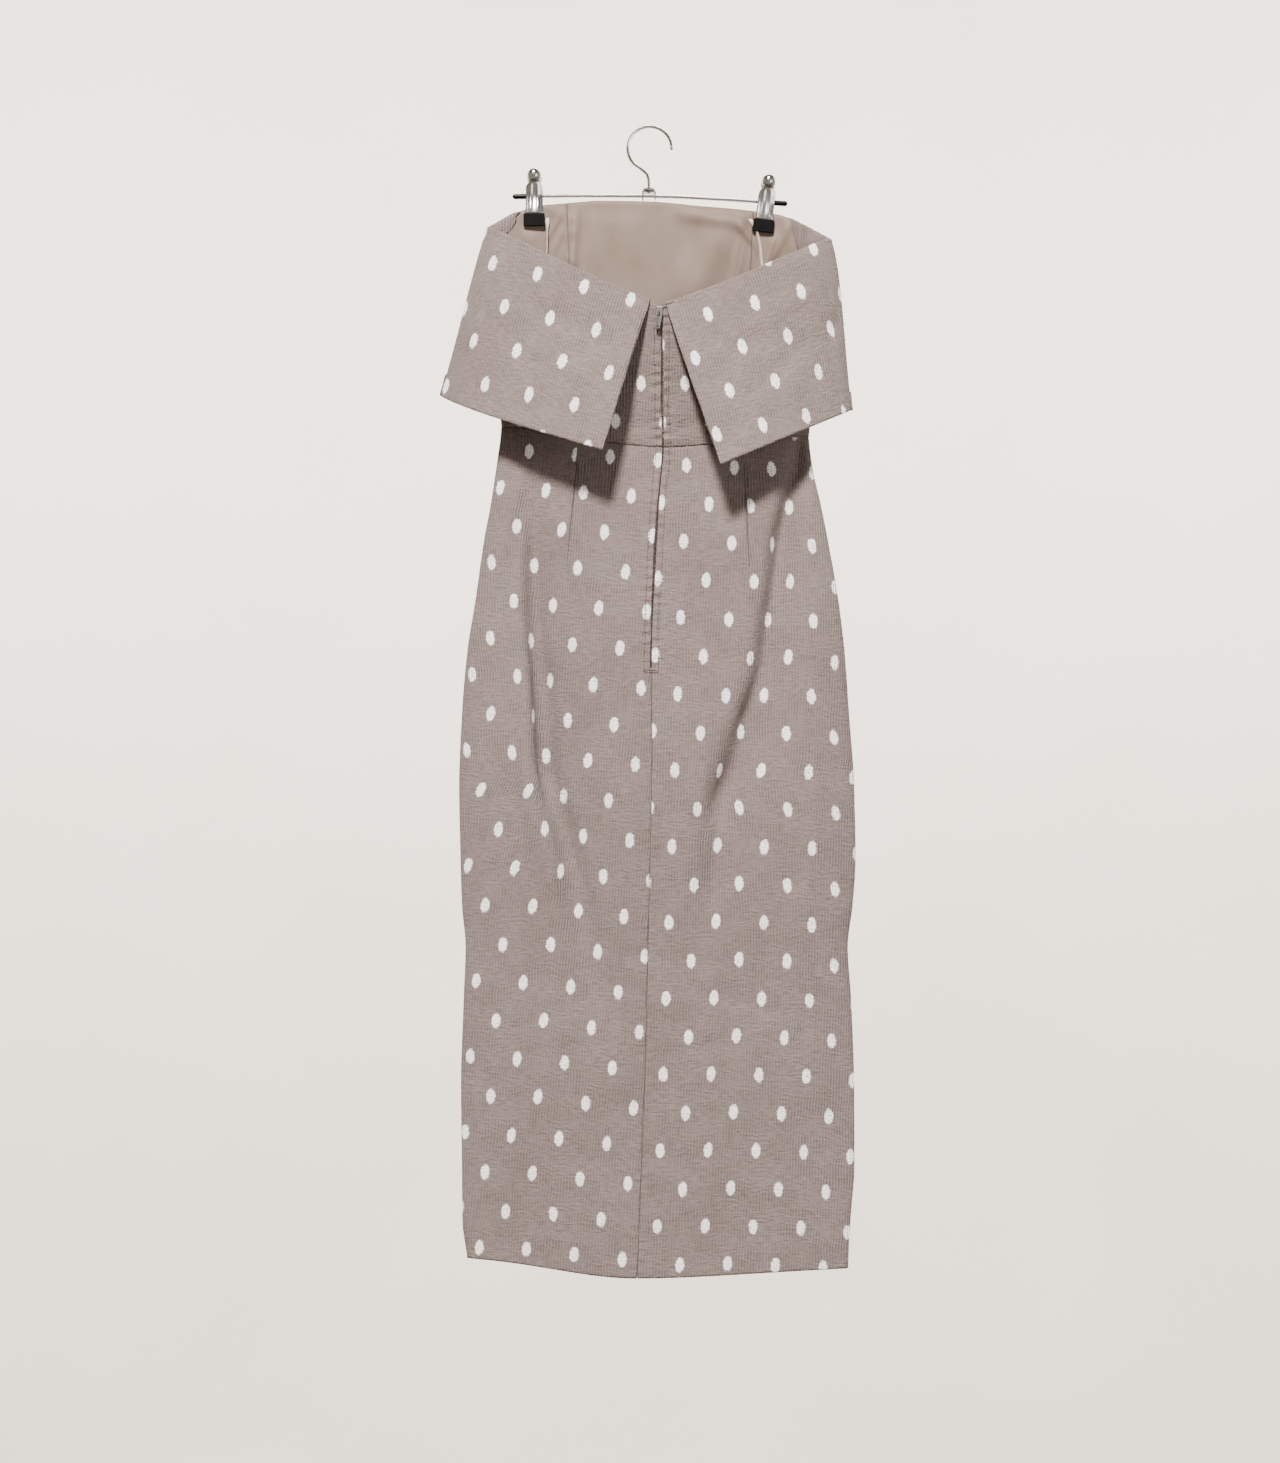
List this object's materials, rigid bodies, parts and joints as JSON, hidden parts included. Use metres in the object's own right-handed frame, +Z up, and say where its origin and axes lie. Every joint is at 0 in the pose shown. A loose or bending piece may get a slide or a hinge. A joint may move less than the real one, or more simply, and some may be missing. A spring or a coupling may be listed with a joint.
{
  "type": "strapless dress on a clip hanger",
  "caption": "Strapless midi dress with a fold-over cuff and a back zip, pinched by its front edge in a wire clip hanger with an open hook.",
  "frame": {"origin": "underside of the top of the hanger's hook, where a rail or peg would carry it", "axes": "+Z up; +Y through the dress from its back, which faces the viewer, to its front; +X to the viewer's right"},
  "size_m": [0.4503, 0.101, 1.2538],
  "materials": {
    "spotted_weave": "crinkled ribbed weave, matt, with small pale spots",
    "lining_satin": "plain satin, soft sheen",
    "pale_ribbon": "narrow satin ribbon",
    "zip_tape_weave": "plain woven tape",
    "zip_metal": "plated, worn bright",
    "chrome_steel": "polished",
    "black_rubber": "moulded, half matt"
  },
  "bodies": {
    "dress": {"skirt_back_left": "spotted_weave", "skirt_back_right": "spotted_weave", "skirt_front": "spotted_weave", "bodice_back_left": "spotted_weave", "bodice_back_right": "spotted_weave", "bodice_front": "spotted_weave", "cuff_back_left": "spotted_weave", "cuff_back_right": "spotted_weave", "cuff_front": "spotted_weave", "lining_centre": "lining_satin", "lining_side_left": "lining_satin", "lining_side_right": "lining_satin", "hanging_loop_left": "pale_ribbon", "hanging_loop_right": "pale_ribbon", "zip_tape": "zip_tape_weave", "zip_slider": "zip_metal", "hanger_hook": "chrome_steel", "hook_tip": "chrome_steel", "hanger_nut": "chrome_steel", "hanger_bracket": "chrome_steel", "hanger_bar": "chrome_steel", "bar_cap_left": "black_rubber", "bar_cap_right": "black_rubber", "clip_left_jaw_back": "chrome_steel", "clip_left_jaw_front": "chrome_steel", "clip_left_spring": "chrome_steel", "clip_left_pad_back": "black_rubber", "clip_left_pad_front": "black_rubber", "clip_right_jaw_back": "chrome_steel", "clip_right_jaw_front": "chrome_steel", "clip_right_spring": "chrome_steel", "clip_right_pad_back": "black_rubber", "clip_right_pad_front": "black_rubber"},
    "pull_tab": {"zip_pull_tab": "zip_metal"}
  },
  "joints": [
    {"name": "tab_swing", "type": "hinge", "parent": "dress", "child": "pull_tab", "pos_m": [0.00981, -0.03943, -0.206], "axis": [-0.9945, 0, 0.1045], "range_deg": [0, 165]}
  ]
}
